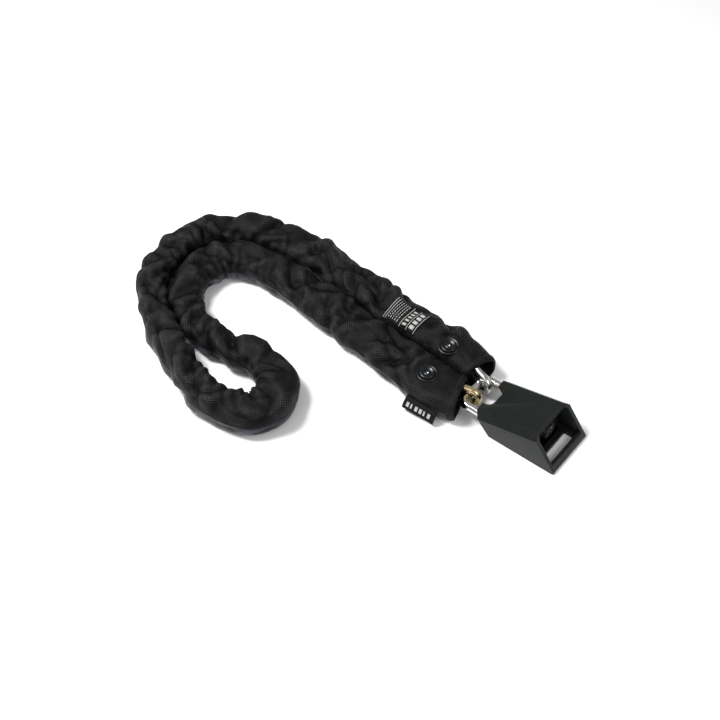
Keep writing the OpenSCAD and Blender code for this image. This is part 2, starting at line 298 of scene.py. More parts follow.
# ---- meshes
def new_object(name, points, faces, material):
    mesh = bpy.data.meshes.new(name)
    mesh.from_pydata([tuple(p) for p in points], [], faces)
    mesh.validate()
    mesh.update()
    mesh.polygons.foreach_set("use_smooth", [True] * len(mesh.polygons))
    mesh.materials.append(material)
    made = bpy.data.objects.new(name, mesh)
    bpy.context.collection.objects.link(made)
    return made


def lathe(profile, sides):
    """Points and faces of a closed profile of (radius, height) turned about Z."""
    points, faces, n = [], [], len(profile)
    for i in range(sides):
        a = 2 * math.pi * i / sides
        points += [(r * math.cos(a), r * math.sin(a), z) for r, z in profile]
    for i in range(sides):
        for j in range(n):
            a, b = i * n, (i + 1) % sides * n
            faces.append((a + j, b + j, b + (j + 1) % n, a + (j + 1) % n))
    return points, faces


def merge(parts):
    """Joins lists of (points, faces) into one."""
    points, faces = [], []
    for p, f in parts:
        base = len(points)
        points += list(p)
        faces += [tuple(i + base for i in face) for face in f]
    return points, faces


def moved(part, matrix):
    return [matrix @ Vector(p) for p in part[0]], part[1]


def sweep(path, section):
    """Closed tube of a section of (side, up) offsets along a path of (point, side way, up way)."""
    points, n, m = [], len(section), len(path)
    for p, side, up in path:
        points += [p + side * a + up * b for a, b in section]
    faces = [(i * n + j, i * n + (j + 1) % n, (i + 1) % m * n + (j + 1) % n, (i + 1) % m * n + j)
             for i in range(m) for j in range(n)]
    return points, faces


def ring_faces(rings, n):
    """Faces between successive rings of n points each."""
    return [(r * n + i, r * n + (i + 1) % n, (r + 1) * n + (i + 1) % n, (r + 1) * n + i)
            for r in range(rings - 1) for i in range(n)]


def grid_faces(nu, nv):
    """Faces of a grid of (nu + 1) by (nv + 1) points, and the points of its rim in order."""
    def at(i, j):
        return i * (nv + 1) + j

    faces = [(at(i, j), at(i + 1, j), at(i + 1, j + 1), at(i, j + 1)) for i in range(nu) for j in range(nv)]
    rim = ([at(i, 0) for i in range(nu + 1)] + [at(nu, j) for j in range(1, nv + 1)]
           + [at(i, nv) for i in range(nu - 1, -1, -1)] + [at(0, j) for j in range(nv - 1, 0, -1)])
    return faces, rim


def node_points(name):
    return np.array([v.co for v in nodes[name].data.vertices], float)


# ---- sleeve
# Route of the doubled chain, as in the CAD model: x, y, sleeve width, sleeve height, shift to the left
ROUTE = np.array([
    (-52, 10, 32.3, 28, -5.5), (-95, 26, 40, 29, -3), (-120, 31, 42, 29, -1), (-150, 32, 42, 29, 0),
    (-200, 35, 41, 29, 0), (-250, 41, 42, 29, 0), (-300, 45, 41, 29, 0), (-344, 40, 38, 30, 0),
    (-386, 19, 36, 32, 0), (-409, -10, 36, 34, 0), (-415, -41, 36, 34, 0), (-408, -76, 34, 34, 0),
    (-381, -110, 31, 35, 0), (-343, -135, 30, 36, 0), (-303, -152, 31, 36, 0),
    (-266, -165, 33, 35, 0), (-234, -167, 37, 33, 0), (-209, -157, 41, 33, 0),
    (-202, -134, 43, 33, 0), (-212, -110, 41, 33, 0), (-240, -101, 35, 33, 0),
    (-275, -106, 31, 34, 0), (-312, -107, 31, 33, 0), (-348, -96, 32, 32, 0),
    (-371, -71, 35, 32, 0), (-376, -42, 38, 32, 0), (-366, -14, 38, 31, 0), (-338, -1, 38, 30, 0),
    (-299, 1, 40, 29, 0), (-250, -3, 43, 29, 0), (-200, -9, 44, 29, 0), (-150, -14, 47, 29, 0),
    (-118, -18, 47, 29, -1), (-84, -15, 47, 29, -6), (-46, -4, 42, 29, -9)], float) * 0.001
SPLINE_STEPS = 8
RING_GAP = 0.0018
SIDES = 104
SQUARENESS = 3.0
MOUTH = 0.020
HEM = 0.0065
CLOTH = 0.0014
LINING = 0.050
# How far the cloth keeps off the chain's bars, and further off near the mouths, where the links swing
LINK_SKIN = 0.0011
SWING_SKIN = 0.0024
SWING_LENGTH = 0.06
# Where the sleeve is divided between bodies
CUT_A = (0.206, 0.254, 1.040, 1.088)
CUT_B = (0.515, 0.563, 0.828, 0.876)


def spline(i, t):
    last = len(ROUTE) - 1
    a, b, c, d = (ROUTE[min(max(i + k, 0), last)] for k in (-1, 0, 1, 2))
    return (2 * b + (c - a) * t + (2 * a - 5 * b + 4 * c - d) * t * t
            + (3 * b - a - 3 * c + d) * t ** 3) / 2


PATH = np.array([spline(i, j / SPLINE_STEPS) for i in range(len(ROUTE) - 1)
                 for j in range(SPLINE_STEPS)] + [ROUTE[-1]])
RUN = np.concatenate([[0], np.cumsum(np.hypot(*np.diff(PATH[:, :2], axis=0).T))])
TOTAL = RUN[-1]
FAR_MOUTH = TOTAL - MOUTH - 0.002


def route_at(s):
    return np.stack([np.interp(s, RUN, PATH[:, k]) for k in range(5)], -1)


def centre_line(s):
    """Centre, left direction, half width, height and curvature of the sleeve at stations s."""
    c = route_at(s)
    reach = np.minimum(0.020, np.minimum(s, TOTAL - s))
    a, b = route_at(s - reach), route_at(s + reach)
    near, ahead = route_at(np.maximum(s - 0.006, 0)), route_at(np.minimum(s + 0.006, TOTAL))
    h = np.arctan2(ahead[:, 1] - near[:, 1], ahead[:, 0] - near[:, 0])
    left = np.stack([-np.sin(h), np.cos(h)], -1)
    centre = (2 * c[:, :2] + a[:, :2] + b[:, :2]) / 4 + left * c[:, 4:5]
    far_a, far_b = np.maximum(s - 0.02, 0), np.minimum(s + 0.02, TOTAL)
    pa, pb, pc = route_at(far_a), route_at(s), route_at(far_b)
    turn = (np.arctan2(pc[:, 1] - pb[:, 1], pc[:, 0] - pb[:, 0])
            - np.arctan2(pb[:, 1] - pa[:, 1], pb[:, 0] - pa[:, 0]))
    turn = (turn + math.pi) % (2 * math.pi) - math.pi
    return centre, left, c[:, 2] / 2, c[:, 3], turn / 0.02


def smooth(values, times):
    for _ in range(times):
        values = np.concatenate([values[:1], (values[:-2] + 2 * values[1:-1] + values[2:]) / 4, values[-1:]])
    return values


def unit_section():
    """Evenly spaced points of a superellipse that is 1.35 times as wide as high, scaled to 1 by 1."""
    angle = np.linspace(0, 2 * math.pi, 4001)
    x = np.sign(np.cos(angle)) * np.abs(np.cos(angle)) ** (2 / SQUARENESS) * 1.35
    y = np.sign(np.sin(angle)) * np.abs(np.sin(angle)) ** (2 / SQUARENESS)
    run = np.concatenate([[0], np.cumsum(np.hypot(np.diff(x), np.diff(y)))])
    even = np.linspace(0, run[-1], SIDES, endpoint=False)
    return np.interp(even, run, x) / 1.35, np.interp(even, run, y)


CRUMPLE_SLOPE = 0.040
INNER_FOLDS = ((0.018, 1.0), (0.036, 0.55))  # way round from the top, and depth, of a bend's folds


class Folds:
    """Wrinkles of the sleeve, as heights over its (station, way round) plane, in metres."""

    def __init__(self, s, around, curve):
        self.s, self.around, self.curve = s, around, curve
        self.height = np.zeros((len(s), around.shape[1]))
        self.random = np.random.RandomState(7)

    def add(self, s0, v0, lean, length, width, depth, bow=0.0, sharp=1.4):
        """One crease: a groove (depth < 0) or ridge across the sleeve at s0, v0, leaning by an angle."""
        rows = np.where(np.abs(self.s - s0) < 3 * (length + width))[0]
        if not len(rows):
            return
        ds = self.s[rows, None] - s0
        dv = self.around[rows] - v0
        q = -ds * math.sin(lean) + dv * math.cos(lean)
        p = ds * math.cos(lean) + dv * math.sin(lean) + bow * q * q / length
        groove = np.exp(-np.abs(p / width) ** sharp)
        ridge = np.exp(-np.abs((p - 1.9 * width) / (1.1 * width)) ** sharp)
        self.height[rows] += depth * np.exp(-(q / length) ** 2) * (groove - 0.4 * ridge)

    def bends(self):
        """Compression folds on the inside of each bend, deeper where it is tighter."""
        s = self.s[0] + 0.03
        while s < self.s[-1] - 0.05:
            k = np.interp(s, self.s, self.curve)
            strength = min(abs(k) / 22.0, 1.0)
            if strength > 0.12:
                side = 1.0 if k > 0 else -1.0
                for v0, weight in INNER_FOLDS:
                    self.add(s + self.random.uniform(-0.003, 0.003), side * v0,
                             self.random.uniform(-0.35, 0.35), self.random.uniform(0.010, 0.016),
                             self.random.uniform(0.0028, 0.0045),
                             -weight * (0.0010 + 0.0026 * strength) * self.random.uniform(0.6, 1.3),
                             self.random.uniform(-0.3, 0.3), 1.2)
            s += self.random.uniform(0.010, 0.0165)

    def drapes(self, count):
        """Loose slanting folds over the top and sides."""
        for _ in range(count):
            s0 = self.random.uniform(self.s[0] + 0.03, self.s[-1] - 0.05)
            v0 = self.random.normal(0.0, 0.020)
            lean = self.random.choice([-1, 1]) * self.random.uniform(0.15, 1.2)
            size = self.random.uniform(0.45, 1.0)
            self.add(s0, v0, lean, 0.038 * size, 0.0028 + 0.0026 * size, -0.0042 * size,
                     self.random.uniform(-0.35, 0.35), self.random.uniform(1.15, 1.6))

    def crumples(self, count):
        """Flat facets with crisp ridges between them: triangle waves across each other, bent by slow waves."""
        s, v = self.s[:, None], self.around
        full = 2 * math.pi
        s = s + 0.006 * np.sin(full * (v / 0.075 + s / 0.21)) + 0.005 * np.sin(full * (s / 0.093 - v / 0.06))
        v = v + 0.007 * np.sin(full * s / 0.118) + 0.004 * np.sin(full * (s / 0.051 + v / 0.09))
        for _ in range(count):
            length = self.random.uniform(0.024, 0.060)
            lean = self.random.choice([-1, 1]) * self.random.uniform(0.3, 1.25)
            turns = (s * math.cos(lean) + v * math.sin(lean)) / length + self.random.uniform()
            wave = 4 * np.abs(turns - np.floor(turns + 0.5)) - 1
            spell = 0.5 + 0.9 * np.sin(full * (s / self.random.uniform(0.07, 0.19) + self.random.uniform()))
            self.height += CRUMPLE_SLOPE * length * wave * np.clip(spell, 0, 1)

    def puckers(self, count):
        """Short fine creases."""
        for _ in range(count):
            self.add(self.random.uniform(self.s[0] + 0.02, self.s[-1] - 0.02),
                     self.random.uniform(-0.045, 0.045),
                     self.random.uniform(-1.5, 1.5), self.random.uniform(0.004, 0.010),
                     self.random.uniform(0.0014, 0.0028), -self.random.uniform(0.0003, 0.0008), 0.2, 1.3)


def snap_places():
    """Centre of each of the two snaps, from the CAD caps."""
    caps = node_points("snap_caps")
    return [caps[side].mean(axis=0) for side in (caps[:, 1] < 0, caps[:, 1] > 0)]


CRUMPLE_ROWS = 3
CRUMPLE_COLUMNS = 2
CRUMPLE_FRAMES = 24
CRUMPLE_REACH = 0.006  # no point moves further than this
HELD_BELOW = 0.004  # the underside is held more firmly
CLOTH_SETTINGS = {
    "quality": 7, "mass": 0.15, "tension_stiffness": 30, "compression_stiffness": 30,
    "shear_stiffness": 12, "bending_stiffness": 0.25, "air_damping": 2, "vertex_group_mass": "hold",
    "pin_stiffness": 0.6, "use_pressure": True, "uniform_pressure_force": 0.4}


def straightened(tube, middle, along):
    """The rings of a tube put on a straight line, each at its own distance along it."""
    offset = tube - middle[:, None]
    heading = np.gradient(middle[:, :2], axis=0)
    heading /= np.linalg.norm(heading, axis=1, keepdims=True)
    left = np.stack([-heading[:, 1], heading[:, 0]], -1)
    straight = np.empty_like(tube)
    straight[..., 0] = along[:, None]
    straight[..., 1] = (offset[..., :2] * left[:, None]).sum(-1)
    straight[..., 2] = tube[..., 2]
    return straight


def cloth_tube(tube, straight):
    """The tube as an object with a cloth modifier. The straight tube is its rest shape."""
    count, n = tube.shape[:2]
    mesh = bpy.data.meshes.new("crumple")
    mesh.from_pydata([tuple(p) for p in tube.reshape(-1, 3)], [], ring_faces(count, n))
    made = bpy.data.objects.new("crumple", mesh)
    bpy.context.collection.objects.link(made)
    made.shape_key_add(name="Basis")
    rest = made.shape_key_add(name="rest")
    rest.data.foreach_set("co", straight.reshape(-1))
    hold = made.vertex_groups.new(name="hold")
    low = tube[..., 2] < HELD_BELOW
    for r in range(count):
        ends = min(r, count - 1 - r)
        for i in range(n):
            hold.add([r * n + i], 1.0 if ends < 2 else (0.5 if low[r, i] else 0.06), "REPLACE")
    modifier = made.modifiers.new("cloth", "CLOTH")
    for key, value in CLOTH_SETTINGS.items():
        setattr(modifier.settings, key, value)
    modifier.settings.rest_shape_key = rest
    modifier.settings.effector_weights.gravity = 0
    modifier.collision_settings.use_collision = False
    modifier.point_cache.frame_end = CRUMPLE_FRAMES
    return made


def settled_points(made):
    """Runs the cloth to its last frame and removes it. Returns its points, one number after another."""
    scene = bpy.context.scene
    for moment in range(1, CRUMPLE_FRAMES + 1):
        scene.frame_set(moment)
    settled = made.evaluated_get(bpy.context.evaluated_depsgraph_get()).data
    after = np.empty(len(settled.vertices) * 3)
    settled.vertices.foreach_get("co", after)
    bpy.data.objects.remove(made)
    scene.frame_set(1)
    return after


def eased(grid):
    """One step of smoothing, along the sleeve and round it."""
    grid[1:-1] = (grid[:-2] + 2 * grid[1:-1] + grid[2:]) / 4
    return (np.roll(grid, 1, 1) + 2 * grid + np.roll(grid, -1, 1)) / 4


def spread(change, rows, shape):
    """Changes of the coarse tube, read off at every point of the full grid."""
    closed = np.concatenate([change, change[:, :1]], axis=1)
    columns = np.arange(SIDES) / CRUMPLE_COLUMNS
    before = np.floor(columns).astype(int)
    part = (columns - before)[None, :, None]
    wide = closed[:, before] * (1 - part) + closed[:, before + 1] * part
    out = np.empty(shape)
    for i in range(SIDES):
        for k in range(3):
            out[:, i, k] = np.interp(np.arange(shape[0]), rows, wide[:, i, k])
    return eased(eased(out))


def crumple(s, points, curve, half_w):
    """Lets a straight tube of cloth, as long as the outside of each bend, settle round the chain's path.

    Returns how far each point of the grid moves.
    """
    rows = np.arange(0, len(s), CRUMPLE_ROWS)
    tube = points[rows][:, ::CRUMPLE_COLUMNS]
    middle = tube.mean(axis=1)
    spare = 1.06 + np.minimum(np.abs(curve[rows]) * half_w[rows], 0.45) * 0.8
    gap = np.linalg.norm(np.diff(middle, axis=0), axis=1) * (spare[1:] + spare[:-1]) / 2
    along = np.concatenate([[0], np.cumsum(gap)])
    made = cloth_tube(tube, straightened(tube, middle, along))
    change = settled_points(made).reshape(tube.shape) - tube
    size = np.linalg.norm(change, axis=2, keepdims=True)
    change = change * np.tanh(size / CRUMPLE_REACH) * CRUMPLE_REACH / np.maximum(size, 1e-9)
    return spread(change, rows, points.shape)


def ring_stations():
    """Where the rings lie along the route, with one on each cut."""
    s = np.arange(MOUTH, FAR_MOUTH + RING_GAP / 2, RING_GAP)
    cuts = np.array(CUT_A + CUT_B)
    nearest = cuts[np.abs(cuts - s[:, None]).argmin(axis=1)]
    s = np.where(np.abs(nearest - s) <= RING_GAP / 2, nearest, s)
    s[0], s[-1] = MOUTH, FAR_MOUTH
    return s


def way_round(x, y):
    """Distance of each point round its ring from the top, positive to the left."""
    step = np.hypot(np.roll(x, -1, 1) - x, np.roll(y, -1, 1) - y)
    run = np.concatenate([np.zeros((len(x), 1)), np.cumsum(step, 1)], 1)
    girth = run[:, -1:]
    top = SIDES // 4
    around = run[:, :-1] - run[:, top:top + 1]
    return -((around + girth / 2) % girth - girth / 2)


def placed(centre, left, height, x, y):
    """Points of all rings, from their offsets to the left (x) and up from mid height (y)."""
    points = np.empty((*x.shape, 3))
    points[..., 0] = centre[:, None, 0] + left[:, None, 0] * x
    points[..., 1] = centre[:, None, 1] + left[:, None, 1] * x
    points[..., 2] = height[:, None] / 2 + y
    return points


def fold_heights(s, around, curve):
    folds = Folds(s, around, curve)
    folds.bends()
    folds.crumples(9)
    folds.drapes(90)
    folds.puckers(110)
    return folds.height


def freedom(ends, x, y, uy):
    """How freely the cloth folds: less near the mouths, round the snaps and under the label."""
    calm = np.ones(x.shape) * np.clip(ends / 0.045, 0.12, 1)[:, None]
    upper = (uy > 0.2)[None, :]
    for px, py, _ in snap_places():
        away = np.hypot(x - px, y - py)
        calm = calm * (1 - upper * np.exp(-(away / 0.016) ** 4))
    patch = node_points("woven_label").mean(axis=0)
    near = upper * np.exp(-((x - patch[0]) / 0.026) ** 4 - ((y - patch[1]) / 0.02) ** 4)
    return calm * (1 - 0.7 * near)


def raised(x, y, d):
    """Moves the points of each ring outwards by d."""
    nx = np.roll(y, -1, 1) - np.roll(y, 1, 1)
    ny = -(np.roll(x, -1, 1) - np.roll(x, 1, 1))
    size = np.hypot(nx, ny)
    return x + d * nx / size, y + d * ny / size


DEEPEST_FOLD, HIGHEST_FOLD = -0.0080, 0.0035
LINK_LIFT = 0.0007
LINK_REPEAT = 0.0785


def build_sleeve():
    """Grid of the sleeve: stations, points (ring, side, xyz), way round, underside mask and painted shade."""
    s = ring_stations()
    centre, left, half_w, height, curve = centre_line(s)
    curve = smooth(curve, 6)
    centre = np.stack([smooth(centre[:, 0], 6), smooth(centre[:, 1], 6)], -1)
    ux, uy = unit_section()
    x = half_w[:, None] * ux
    y = height[:, None] / 2 * uy
    around = way_round(x, y)
    start = placed(centre, left, height, x, y)
    settle = crumple(s, start, curve, half_w)
    ends = np.minimum(s - MOUTH, FAR_MOUTH - s)
    calm = freedom(ends, start[..., 0], start[..., 1], uy)
    # the upright links lift the top, the flat ones let it sink
    lift = LINK_LIFT * np.cos(2 * math.pi * s / LINK_REPEAT)[:, None] * np.clip(uy, 0, 1)
    d = (fold_heights(s, around, curve) + lift) * calm
    # the underside lies flat on the ground
    d = d * np.clip((uy + 0.95) / 0.5, 0, 1) * (0.4 + 0.6 * np.abs(uy) ** 0.7)
    x, y = raised(x, y, np.clip(d, DEEPEST_FOLD, HIGHEST_FOLD))
    points = placed(centre, left, height, x, y)
    points += settle * calm[..., None]
    # the end links swing a little in the mouths, so the cloth stands further off them
    skin = np.interp(ends, (0, SWING_LENGTH, SWING_LENGTH + 0.02), (SWING_SKIN, SWING_SKIN, LINK_SKIN))
    for _ in range(3):
        points = off_the_links(points, skin)
    points[..., 2] = np.maximum(points[..., 2], 0.0001)
    # the underside panel; its lighter colour in the material is partly painted light from the floor below
    panel = np.repeat(np.clip((-uy[None, :] - 0.02) / 0.06, 0, 1), len(s), 0)
    return s, points, around, panel, crease_shade_levels(points)


def crease_shade_levels(points):
    """How far each point lies inside (0) or outside (1) the cloth around it, with 0.5 level: it sets the
    painted shade.
    """
    reach = np.linalg.norm(points - points.mean(axis=1, keepdims=True), axis=2)
    wide = reach.copy()
    for _ in range(14):
        wide = eased(wide)
    return np.clip(0.5 + (reach - wide) / 0.0022, 0, 1)


def off_the_links(points, skin):
    """Moves points that have sunk into a chain link out to a skin above its bar."""
    names = [n for n in nodes if n.startswith(("chain_link", "end_link"))]
    corners, faces = merge([([tuple(v.co) for v in nodes[n].data.vertices],
                             [tuple(p.vertices) for p in nodes[n].data.polygons]) for n in sorted(names)])
    tree = BVHTree.FromPolygons(corners, faces)
    flat = points.reshape(-1, 3)
    middle = np.repeat(points.mean(axis=1), points.shape[1], axis=0)
    skin = np.repeat(skin, points.shape[1])
    push = np.zeros(len(flat))
    for k, p in enumerate(flat):
        hit, normal, _, distance = tree.find_nearest(Vector(p), 0.012)
        if hit is None:
            continue
        depth = (Vector(p) - hit).dot(normal)
        if depth < 0 or distance < skin[k]:
            push[k] = skin[k] - math.copysign(distance, depth)
    push = push.reshape(points.shape[:2])
    for _ in range(3):
        wide = np.maximum(push, 0.55 * (np.roll(push, 1, 1) + np.roll(push, -1, 1)) / 2)
        wide[1:-1] = np.maximum(wide[1:-1], 0.55 * (push[:-2] + push[2:]) / 2)
        push = wide
    away = flat - middle
    away /= np.linalg.norm(away, axis=1, keepdims=True)
    return (flat + away * push.reshape(-1, 1)).reshape(points.shape)


def sleeve_piece(name, rings, grid, material):
    """Mesh of a stretch of the sleeve. grid is (stations, points, around, panel, hollow, normals)."""
    s, points, around, panel, crease_shade, normals = grid
    stations = s[rings]
    flat = points[rings].reshape(-1, 3)
    faces, uv, n = [], [], SIDES
    for r in range(len(rings) - 1):
        if rings[r + 1] - rings[r] != 1:
            continue
        for i in range(n):
            j = (i + 1) % n
            faces.append((r * n + i, r * n + j, (r + 1) * n + j, (r + 1) * n + i))
            va, vb = around[rings[r], i], around[rings[r], j]
            if abs(vb - va) > 0.02:
                vb = va - 0.001
            uv += [(stations[r], va), (stations[r], vb), (stations[r + 1], vb), (stations[r + 1], va)]
    made = new_object(name, flat, faces, material)
    mesh = made.data
    layer = mesh.uv_layers.new(name="cloth")
    layer.data.foreach_set("uv", np.array(uv, np.float32).ravel())
    for label, values in (("panel", panel), ("crease_shade", crease_shade)):
        mask = mesh.attributes.new(label, "FLOAT", "POINT")
        mask.data.foreach_set("value", values[rings].reshape(-1).astype(np.float32))
    mesh.normals_split_custom_set_from_vertices([tuple(v) for v in normals[rings].reshape(-1, 3)])
    return made


def grid_normals(points):
    along = np.gradient(points, axis=0)
    across = np.roll(points, -1, 1) - np.roll(points, 1, 1)
    normal = np.cross(across, along)
    normal /= np.linalg.norm(normal, axis=2, keepdims=True) + 1e-12
    middle = points.mean(axis=1, keepdims=True)
    if ((points - middle) * normal).sum() < 0:
        normal = -normal
    return normal


def with_lining(s, points, around, panel, crease_shade):
    """Adds the turned-in lining at both mouths, as extra rings at each end."""
    count = int(LINING / RING_GAP)

    def inward(rings):
        part = points[rings].copy()
        middle = part.mean(axis=1, keepdims=True)
        out = part - middle
        reach = np.linalg.norm(out, axis=2, keepdims=True)
        return middle + out * (1 - CLOTH / reach)

    head = np.arange(count, -1, -1)
    tail = np.arange(len(s) - 1, len(s) - 2 - count, -1)
    s2 = np.concatenate([2 * s[0] - s[head] - 0.0001, s, 2 * s[-1] - s[tail] + 0.0001])
    p2 = np.concatenate([inward(head), points, inward(tail)])
    a2 = np.concatenate([around[head], around, around[tail]])
    m2 = np.concatenate([panel[head] * 0 + 1, panel, panel[tail] * 0 + 1])
    # the turned-in lining gets a low level, so it is painted in shade inside the mouths
    h2 = np.concatenate([crease_shade[head] * 0 + 0.3, crease_shade, crease_shade[tail] * 0 + 0.3])
    return s2, p2, a2, m2, h2, count + 1


def add_sleeve(material):
    s, points, around, panel, crease_shade, extra = with_lining(*build_sleeve())
    grid = (s, points, around, panel, crease_shade, grid_normals(points))

    def stretch(*ranges):
        return [r for low, high in ranges for r in range(low, high + 1)]

    def ring_at(value):
        inner = s[extra:-extra]
        return extra + int(np.argmin(np.abs(inner - value)))

    a, b = [ring_at(v) for v in CUT_A], [ring_at(v) for v in CUT_B]
    last = len(s) - 1
    near = sleeve_piece("sleeve_near_run", stretch((0, a[0]), (a[3], last)), grid, material)
    bend_a = sleeve_piece("sleeve_first_bend", stretch((a[0], a[1]), (a[2], a[3])), grid, material)
    turn = sleeve_piece("sleeve_far_turn", stretch((a[1], b[0]), (b[3], a[2])), grid, material)
    bend_b = sleeve_piece("sleeve_second_bend", stretch((b[0], b[1]), (b[2], b[3])), grid, material)
    loop = sleeve_piece("sleeve_end_loop", stretch((b[1], b[2])), grid, material)
    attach(near, "near_run")
    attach(turn, "far_turn")
    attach(loop, "loop_end")

    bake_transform(bend_a)
    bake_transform(bend_b)
    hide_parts("sleeve_near", "sleeve_hems")
    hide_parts("sleeve_bend_a")
    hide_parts("sleeve_turn")
    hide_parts("sleeve_bend_b")
    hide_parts("sleeve_loop")
    tree = BVHTree.FromPolygons([tuple(p) for p in points.reshape(-1, 3)],
                                ring_faces(len(s), SIDES))
    return s, points, tree, extra


def add_hem(name, ring, inner_ring, material):
    """The doubled edge at a mouth: a band round the sleeve's end, rounded at its lip."""
    lifts = [0.0, 0.0006, 0.0008, 0.0008, 0.0007, 0.0002]
    parts = []
    for t, lift in zip(np.linspace(0, 1, len(lifts)), lifts):
        part = ring * (1 - t) + inner_ring * t
        middle = part.mean(axis=0)
        away = part - middle
        away /= np.linalg.norm(away, axis=1, keepdims=True)
        moved_part = part + away * lift
        moved_part[:, 2] = np.maximum(moved_part[:, 2], 0.0)
        parts.append(moved_part)
    inner = ring.mean(axis=0) + (ring - ring.mean(axis=0)) * (1 - 0.0022 / 0.018)
    parts.insert(0, inner)
    points = np.concatenate(parts)
    made = new_object(name, points, ring_faces(len(parts), len(ring)), material)
    layer = made.data.uv_layers.new(name="cloth")
    uv = [(points[v][0] * 0.7 + points[v][1], points[v][2]) for p in made.data.polygons for v in p.vertices]
    layer.data.foreach_set("uv", np.array(uv, np.float32).ravel())
    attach(made, "near_run")


def capsule(length, radius, rings=6, sides=8):
    """A stitch lying along X, pulled in at its ends."""
    points = []
    for r in range(rings + 1):
        t = r / rings
        swell = radius * math.sin(math.pi * min(max(t, 0.04), 0.96)) ** 0.5
        points += [((t - 0.5) * length, swell * math.cos(2 * math.pi * i / sides),
                    swell * math.sin(2 * math.pi * i / sides)) for i in range(sides)]
    faces = ring_faces(rings + 1, sides)
    faces += [tuple(range(sides))[::-1], tuple(range(rings * sides, (rings + 1) * sides))]
    return points, faces


def stitch_line(name, line, material, gap=0.0040, length=0.0029, radius=0.00045):
    """Stitches along a list of (point, outward direction)."""
    places = np.array([p for p, _ in line])
    outs = np.array([o for _, o in line])
    run = np.concatenate([[0], np.cumsum(np.linalg.norm(np.diff(places, axis=0), axis=1))])
    parts = []
    for at in np.arange(gap / 2, run[-1], gap):
        p = Vector([np.interp(at, run, places[:, k]) for k in range(3)])
        ahead = Vector([np.interp(at + 0.0005, run, places[:, k]) for k in range(3)])
        out = Vector([np.interp(at, run, outs[:, k]) for k in range(3)]).normalized()
        along = (ahead - p).normalized()
        side = out.cross(along).normalized()
        matrix = Matrix((along, side, out)).transposed().to_4x4()
        matrix.translation = p + out * radius * 0.3
        parts.append(moved(capsule(length, radius), matrix))
    made = new_object(name, *merge(parts), material)
    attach(made, "near_run")


# ---- label, tab, snaps
def on_sleeve(tree, x, y):
    hit, normal, _, _ = tree.ray_cast(Vector((x, y, 0.08)), Vector((0, 0, -1)))
    return (hit.z, normal) if hit else (0.029, Vector((0, 0, 1)))


def draped_patch(tree, frame_of, u0, u1, v0, v1, lift, step=0.0012):
    """Thin closed patch over the sleeve: frame_of(u, v) gives x, y, and lift its height above the cloth."""
    nu, nv = max(2, int(abs(u1 - u0) / step)), max(2, int(abs(v1 - v0) / step))
    upper, lower = [], []
    for i in range(nu + 1):
        for j in range(nv + 1):
            x, y = frame_of(u0 + (u1 - u0) * i / nu, v0 + (v1 - v0) * j / nv)
            z, _ = on_sleeve(tree, x, y)
            upper.append((x, y, z + lift))
            lower.append((x, y, z + lift - 0.0006))
    n = len(upper)
    faces, rim = grid_faces(nu, nv)
    faces += [tuple(n + k for k in face[::-1]) for face in faces]
    faces += [(rim[k], n + rim[k], n + rim[(k + 1) % len(rim)], rim[(k + 1) % len(rim)])
              for k in range(len(rim))]
    return upper + lower, faces


def flat_uv(made):
    layer = made.data.uv_layers.new(name="cloth")
    co = made.data.vertices
    uv = [(co[v].co.x, co[v].co.y + co[v].co.z) for p in made.data.polygons for v in p.vertices]
    layer.data.foreach_set("uv", np.array(uv, np.float32).ravel())


LABEL_LENGTH = 0.041
LABEL_WIDTH = 0.028
LABEL_TURN = math.radians(-3)


def add_label(tree, cloth, print_thread):
    low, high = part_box("woven_label")
    cx, cy = (low[0] + high[0]) / 2, (low[1] + high[1]) / 2

    def frame_of(u, v):
        return (cx + u * math.cos(LABEL_TURN) - v * math.sin(LABEL_TURN),
                cy + u * math.sin(LABEL_TURN) + v * math.cos(LABEL_TURN))

    half_l, half_w = LABEL_LENGTH / 2, LABEL_WIDTH / 2
    label = new_object("woven_patch", *draped_patch(tree, frame_of, -half_l, half_l, -half_w, half_w, 0.0007),
                       cloth)
    flat_uv(label)
    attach(label, "near_run")
    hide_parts("woven_label")
    marks = []

    def bar(u, width, v_low, v_high):
        marks.append(draped_patch(tree, frame_of, u - width / 2, u + width / 2,
                                  v_low * half_w, v_high * half_w, 0.00095, 0.0014))

    for u in (-0.0192, -0.0165, 0.0012, 0.0098, 0.0192):
        bar(u, 0.00055, -0.95, 0.95)
    for u, count in ((-0.0138, 9), (-0.0112, 7), (-0.0086, 11), (-0.0060, 8), (-0.0034, 6)):
        edges = np.linspace(-0.85, 0.85, count + 1)
        for k in range(count):
            bar(u, 0.0007, edges[k] + 0.03, edges[k + 1] - 0.05)
    for k in range(5):
        bar(0.0055, 0.0044, -0.78 + 0.33 * k, -0.78 + 0.33 * k + 0.16)
    for k in range(4):
        bar(0.0145, 0.0050, -0.80 + 0.42 * k, -0.80 + 0.42 * k + 0.28)
    print_mesh = new_object("woven_patch_marks", *merge(marks), print_thread)
    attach(print_mesh, "near_run")


